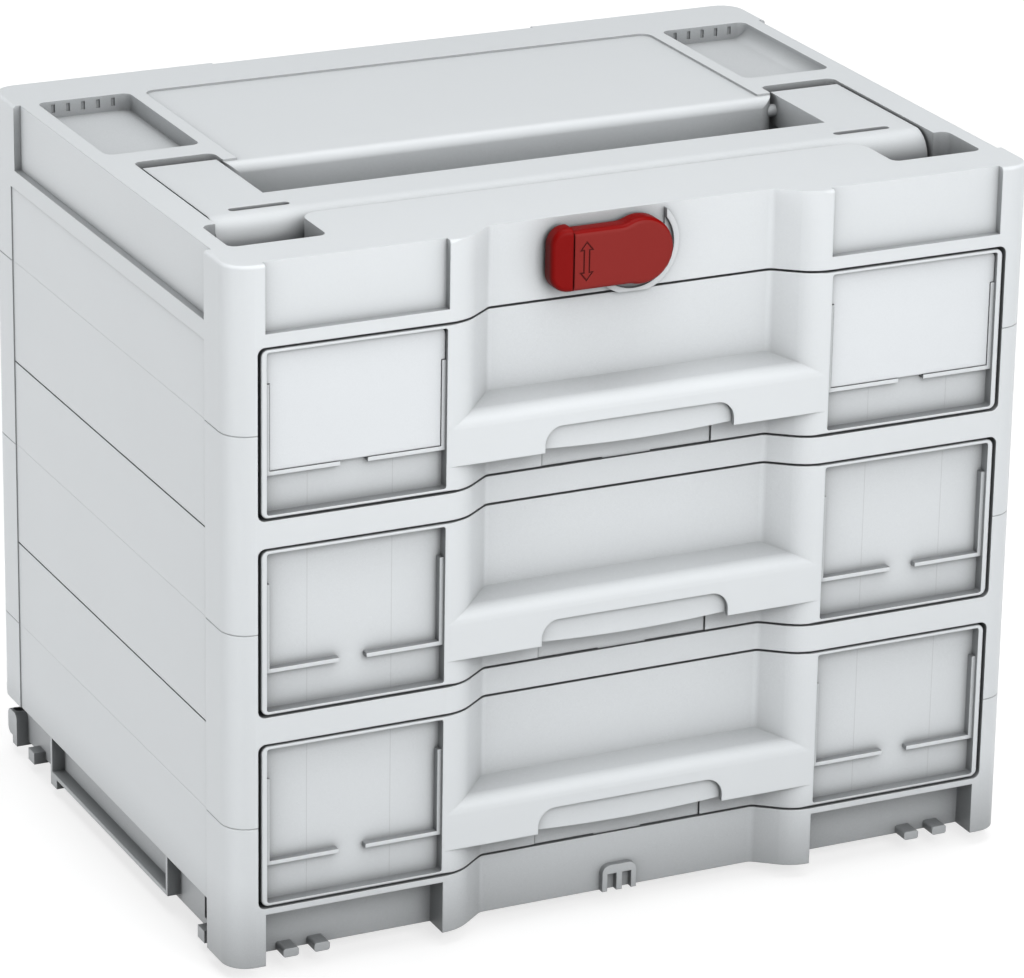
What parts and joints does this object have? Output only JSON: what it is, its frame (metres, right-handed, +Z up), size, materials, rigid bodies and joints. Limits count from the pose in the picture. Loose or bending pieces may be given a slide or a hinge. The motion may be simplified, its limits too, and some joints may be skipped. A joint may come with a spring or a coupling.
{
  "type": "stackable tool case",
  "caption": "Stackable light grey plastic tool case with drawers that have finger pulls and release levers, a carry handle folded into the lid and a red rotary latch.",
  "frame": {"origin": "middle of the footprint at the level of the stacking feet", "axes": "+Z up, +X to the right seen from the front, front faces -Y"},
  "size_m": [0.396, 0.296, 0.337],
  "materials": {
    "housing_plastic": "fine satin moulded grain, light grey",
    "drawer_plastic": "fine satin moulded grain, light grey",
    "tray_plastic": "smooth moulded, light grey",
    "insert_plastic": "smooth, pale grey",
    "handle_plastic": "satin moulded, light grey",
    "latch_plastic": "satin red",
    "steel": "plain zinc-coated steel"
  },
  "bodies": {
    "housing": {"base_shell": "housing_plastic", "lower_frame": "housing_plastic", "upper_frame": "housing_plastic", "top_shell": "housing_plastic", "tie_rods": "steel", "handle_pins": "handle_plastic", "latch_collar": "housing_plastic", "latch_washer": "steel"},
    "handle": {"carry_handle": "handle_plastic"},
    "latch": {"rotary_latch": "latch_plastic", "latch_pivot_screw": "steel"},
    "drawer_bottom": {"drawer_front_bottom": "drawer_plastic", "drawer_tray_bottom": "tray_plastic", "front_screws_bottom": "steel", "lever_pin_bottom": "steel", "lever_spring_bottom": "steel"},
    "lever_bottom": {"release_lever_bottom": "drawer_plastic"},
    "drawer_middle": {"drawer_front_middle": "drawer_plastic", "drawer_tray_middle": "tray_plastic", "front_screws_middle": "steel", "lever_pin_middle": "steel", "lever_spring_middle": "steel"},
    "lever_middle": {"release_lever_middle": "drawer_plastic"},
    "drawer_top": {"drawer_front_top": "drawer_plastic", "drawer_tray_top": "tray_plastic", "front_screws_top": "steel", "lever_pin_top": "steel", "lever_spring_top": "steel", "label_insert_left": "insert_plastic", "label_insert_right": "insert_plastic"},
    "lever_top": {"release_lever_top": "drawer_plastic"}
  },
  "joints": [
    {"name": "handle_hinge", "type": "hinge", "parent": "housing", "child": "handle", "pos_m": [0, -0.0016, 0.3286], "axis": [-1, 0, 0], "range_deg": [0, 95]},
    {"name": "latch_turn", "type": "hinge", "parent": "housing", "child": "latch", "pos_m": [0, -0.14, 0.3196], "axis": [0, 1, 0], "range_deg": [0, 90]},
    {"name": "drawer_bottom_slide", "type": "slide", "parent": "housing", "child": "drawer_bottom", "axis": [0, -1, 0], "range_m": [0, 0.2]},
    {"name": "lever_bottom_hinge", "type": "hinge", "parent": "drawer_bottom", "child": "lever_bottom", "pos_m": [0, -0.126, 0.0472], "axis": [-1, 0, 0], "range_deg": [0, 8], "stiffness_Nm_per_rad": 0.1, "springref_deg": -8.59, "deforming": ["lever_spring_bottom"]},
    {"name": "drawer_middle_slide", "type": "slide", "parent": "housing", "child": "drawer_middle", "axis": [0, -1, 0], "range_m": [0, 0.2]},
    {"name": "lever_middle_hinge", "type": "hinge", "parent": "drawer_middle", "child": "lever_middle", "pos_m": [0, -0.126, 0.1396], "axis": [-1, 0, 0], "range_deg": [0, 8], "stiffness_Nm_per_rad": 0.1, "springref_deg": -8.59, "deforming": ["lever_spring_middle"]},
    {"name": "drawer_top_slide", "type": "slide", "parent": "housing", "child": "drawer_top", "axis": [0, -1, 0], "range_m": [0, 0.2]},
    {"name": "lever_top_hinge", "type": "hinge", "parent": "drawer_top", "child": "lever_top", "pos_m": [0, -0.126, 0.232], "axis": [-1, 0, 0], "range_deg": [0, 8], "stiffness_Nm_per_rad": 0.1, "springref_deg": -8.59, "deforming": ["lever_spring_top"]}
  ]
}
